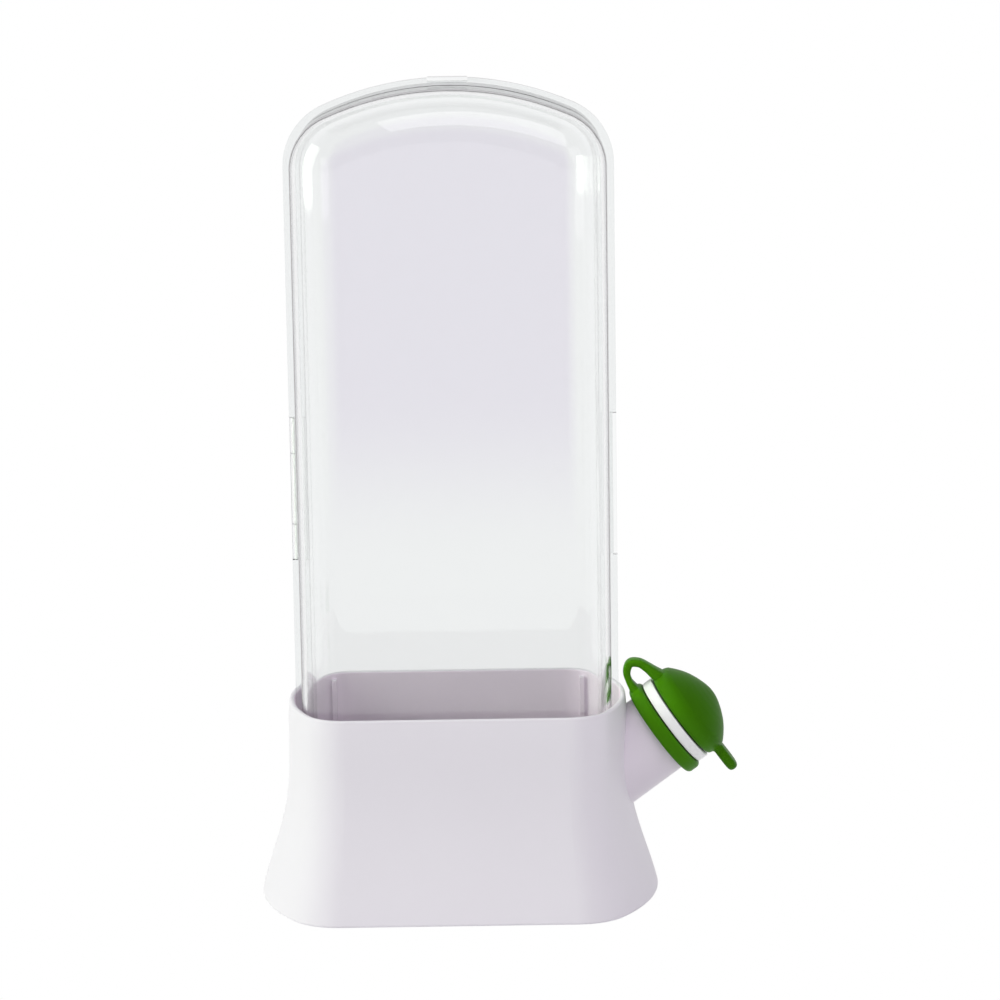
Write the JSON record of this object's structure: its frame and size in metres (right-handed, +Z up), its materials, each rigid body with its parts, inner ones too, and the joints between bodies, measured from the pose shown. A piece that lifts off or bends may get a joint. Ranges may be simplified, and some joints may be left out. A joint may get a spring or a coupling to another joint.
{
  "type": "herb keeper",
  "caption": "Fridge herb keeper: clear clamshell pod standing in a flared white water base with a slanted, stoppered filling spout.",
  "frame": {"origin": "middle of the flat foot, on the surface that the keeper stands on", "axes": "+Z up, +X towards the filling spout, -Y towards the front face"},
  "size_m": [0.1641, 0.0964, 0.279],
  "materials": {
    "base_plastic": "satin",
    "neck_plastic": "satin",
    "green_silicone": "satin",
    "clear_plastic": "polished",
    "pin_plastic": "satin"
  },
  "bodies": {
    "base": {"base_shell": "base_plastic", "base_floor": "base_plastic", "spout_neck": "neck_plastic", "stopper_collar": "green_silicone", "stopper_strap": "green_silicone"},
    "pod": {"pod_front_shell": "clear_plastic", "pod_rear_shell": "clear_plastic", "hinge_pin": "pin_plastic"},
    "cap": {"stopper_cap": "green_silicone"}
  },
  "joints": [
    {"name": "pod_lift", "type": "slide", "parent": "base", "child": "pod", "axis": [0, 0, 1], "range_m": [0, 0.08]},
    {"name": "cap_flip", "type": "hinge", "parent": "base", "child": "cap", "pos_m": [0.0598, 0, 0.07676], "axis": [0, -1, 0], "range_deg": [0, 105], "deforming": ["stopper_strap"]}
  ]
}
